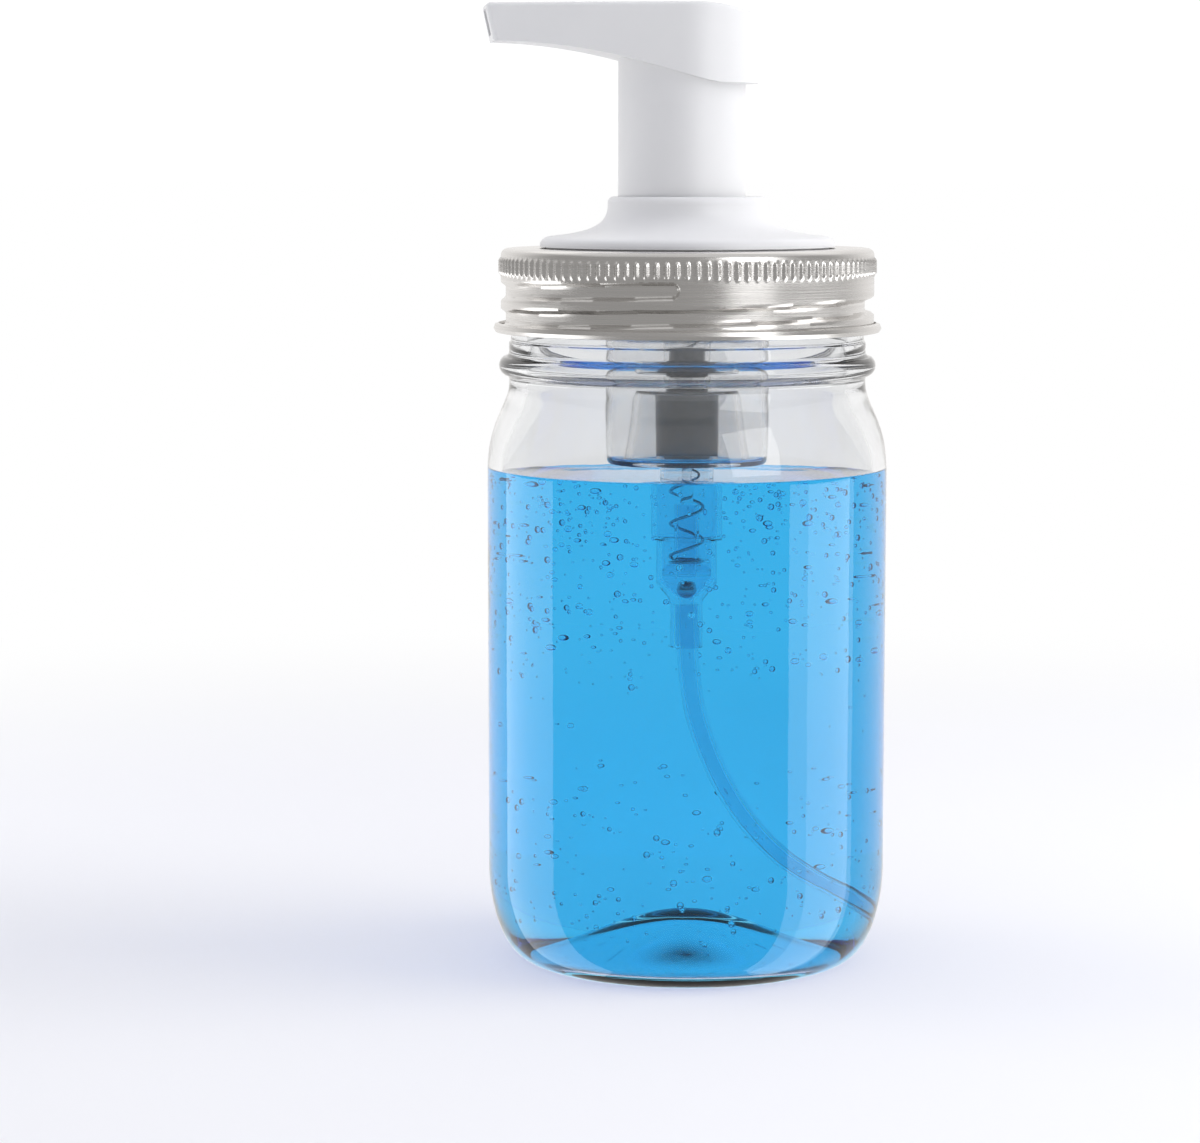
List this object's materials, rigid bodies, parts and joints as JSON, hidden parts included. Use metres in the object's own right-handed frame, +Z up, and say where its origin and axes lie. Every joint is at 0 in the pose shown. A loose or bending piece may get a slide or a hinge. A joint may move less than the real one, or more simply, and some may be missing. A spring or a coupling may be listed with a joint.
{
  "type": "foaming soap pump dispenser",
  "caption": "Foaming soap pump with a teardrop spout head and white collar, held by a knurled metal screw band on a straight-sided glass jar of soap.",
  "frame": {"origin": "centre of the jar's base ring, in the plane it stands on", "axes": "+Z up along the jar's and the pump's axis, the spout towards -X, turned 5 degrees to -Y"},
  "size_m": [0.0781, 0.0774, 0.1848],
  "materials": {
    "clear_glass": "clear moulded soda-lime glass",
    "blue_soap": "clear blue liquid soap",
    "satin_steel": "satin rolled steel sheet",
    "spring_steel": "bright drawn stainless wire",
    "white_plastic": "white satin moulded polypropylene",
    "natural_plastic": "natural translucent polyethylene",
    "clear_plastic": "clear moulded polypropylene",
    "grey_plastic": "dark grey low-density polyethylene",
    "seal_rubber": "soft pale seal",
    "nylon_mesh": "woven nylon monofilament"
  },
  "bodies": {
    "jar": {"glass_jar": "clear_glass", "soap": "blue_soap"},
    "pump_body": {"pump_collar": "white_plastic", "insert_plate": "white_plastic", "jar_gasket": "seal_rubber", "cylinder_washer": "seal_rubber", "pump_cylinder": "clear_plastic", "spring_seat": "clear_plastic", "return_spring": "spring_steel", "dip_tube": "clear_plastic"},
    "band": {"screw_band": "satin_steel"},
    "plunger": {"air_piston": "natural_plastic", "air_valve_ring": "seal_rubber"},
    "head": {"head_shell": "white_plastic", "stem_skirt": "white_plastic", "nozzle_insert": "white_plastic", "mixing_chamber": "natural_plastic", "lower_mesh": "nylon_mesh", "mesh_holder": "natural_plastic", "upper_mesh": "nylon_mesh", "piston_stem": "clear_plastic", "liquid_piston": "grey_plastic"},
    "outlet_valve": {"outlet_rod": "clear_plastic"},
    "inlet_valve": {"inlet_ball": "spring_steel"}
  },
  "joints": [
    {"name": "lid_lift", "type": "slide", "parent": "jar", "child": "pump_body", "axis": [0, 0, 1], "range_m": [0, 0.00635], "deforming": ["soap"]},
    {"name": "band_turn", "type": "hinge", "parent": "pump_body", "child": "band", "pos_m": [0, 0, 0.13], "axis": [0, 0, 1], "range_deg": [0, 451]},
    {"name": "head_press", "type": "slide", "parent": "pump_body", "child": "plunger", "axis": [0, 0, -1], "range_m": [0, 0.014], "stiffness_N_per_m": 450, "springref_m": -0.008, "deforming": ["return_spring"]},
    {"name": "head_turn", "type": "hinge", "parent": "plunger", "child": "head", "pos_m": [0, 0, 0.16], "axis": [0, 0, 1], "continuous": true},
    {"name": "outlet_rod_lift", "type": "slide", "parent": "head", "child": "outlet_valve", "axis": [0, 0, 1], "range_m": [0, 0.0012]},
    {"name": "inlet_ball_lift", "type": "slide", "parent": "pump_body", "child": "inlet_valve", "axis": [0, 0, 1], "range_m": [0, 0.0008]}
  ],
  "couplings": [
    {"joint": "band_turn", "follows": "lid_lift", "rad_per_m": 1236.8}
  ]
}
